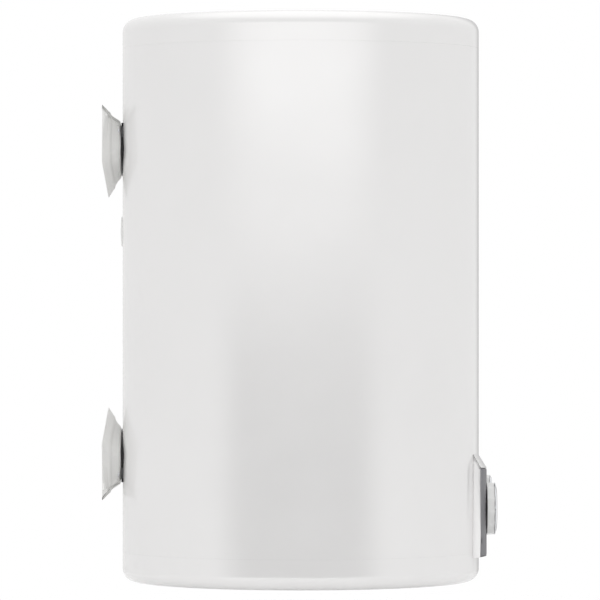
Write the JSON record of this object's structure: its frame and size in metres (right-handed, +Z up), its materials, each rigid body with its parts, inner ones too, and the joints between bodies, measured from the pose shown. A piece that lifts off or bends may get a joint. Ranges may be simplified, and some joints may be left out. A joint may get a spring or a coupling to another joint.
{
  "type": "wall-hung electric storage water heater",
  "caption": "Slim round wall-hung electric water heater with enamelled tank, front panel with temperature and power knobs, and pressed wall brackets.",
  "frame": {"origin": "middle of the four wall slots, in the plane of the wall", "axes": "+Y into the wall, -Y is the front with the control panel, +Z up, +X to the right as seen from the front"},
  "size_m": [0.356, 0.3932, 0.561],
  "materials": {
    "casing_enamel": "gloss white powder coat",
    "white_plastic": "semi-gloss white moulding",
    "screw_steel": "zinc plated",
    "screw_black": "black zinc",
    "insulation_foam": "rigid polyurethane foam",
    "tank_enamel": "blue glass enamel on steel",
    "seal_rubber": "matt black",
    "copper": "bare copper",
    "magnesium": "bare magnesium",
    "pipe_steel": "zinc plated",
    "cold_blue": "moulded",
    "hot_red": "moulded",
    "bracket_zinc": "bright zinc plated, smooth",
    "graphite_plastic": "fine satin grain",
    "knob_chrome": "polished",
    "switch_plastic": "moulded",
    "lamp_neon": "clear",
    "lamp_lens": "clear red",
    "button_red": "moulded",
    "wire_insulation": "heat resistant sleeve",
    "brass": "bare",
    "gland_plastic": "nylon"
  },
  "bodies": {
    "heater": {"outer_casing": "casing_enamel", "top_cap": "casing_enamel", "bottom_cap": "casing_enamel", "service_cover": "white_plastic", "service_cover_screws": "screw_steel", "insulation": "insulation_foam", "inner_tank": "tank_enamel", "flange_gasket": "seal_rubber", "flange_plate": "tank_enamel", "flange_studs": "screw_steel", "flange_nuts": "screw_steel", "main_element": "copper", "boost_element": "copper", "thermowell": "copper", "magnesium_anode": "magnesium", "anode_nut": "screw_steel", "cold_inlet_pipe": "pipe_steel", "inlet_diffuser": "white_plastic", "hot_outlet_pipe": "pipe_steel", "cold_collar": "cold_blue", "hot_collar": "hot_red", "upper_wall_bracket": "bracket_zinc", "lower_wall_bracket": "bracket_zinc", "upper_hook_plate": "bracket_zinc", "lower_hook_plate": "bracket_zinc", "bracket_seals": "seal_rubber", "bracket_standoffs": "tank_enamel", "bracket_bolts": "screw_steel", "foam_plug": "white_plastic", "panel_surround": "white_plastic", "panel_face": "graphite_plastic", "panel_screws": "screw_black", "control_plate": "pipe_steel", "control_screws": "screw_steel", "thermostat": "switch_plastic", "thermostat_bulb_line": "copper", "power_switch": "switch_plastic", "indicator_lamp": "lamp_neon", "indicator_lens": "lamp_lens", "thermal_cutout": "switch_plastic", "terminal_block": "switch_plastic", "wiring": "wire_insulation", "earth_screw": "brass", "cable_gland": "gland_plastic", "gland_nut": "gland_plastic"},
    "temperature_control": {"temperature_knob": "white_plastic", "temperature_knob_ring": "knob_chrome", "temperature_knob_cap": "white_plastic", "thermostat_shaft": "screw_steel"},
    "power_control": {"power_knob": "white_plastic", "power_knob_ring": "knob_chrome", "power_knob_cap": "white_plastic", "power_switch_shaft": "screw_steel"},
    "reset": {"reset_button": "button_red"}
  },
  "joints": [
    {"name": "temperature_turn", "type": "hinge", "parent": "heater", "child": "temperature_control", "pos_m": [0, -0.387, -0.206], "axis": [0, 1, 0], "range_deg": [0, 270]},
    {"name": "power_turn", "type": "hinge", "parent": "heater", "child": "power_control", "pos_m": [0.036, -0.385, -0.1862], "axis": [0, 1, 0], "range_deg": [0, 135]},
    {"name": "reset_press", "type": "slide", "parent": "heater", "child": "reset", "axis": [0, 0, 1], "range_m": [0, 0.002], "stiffness_N_per_m": 600}
  ]
}
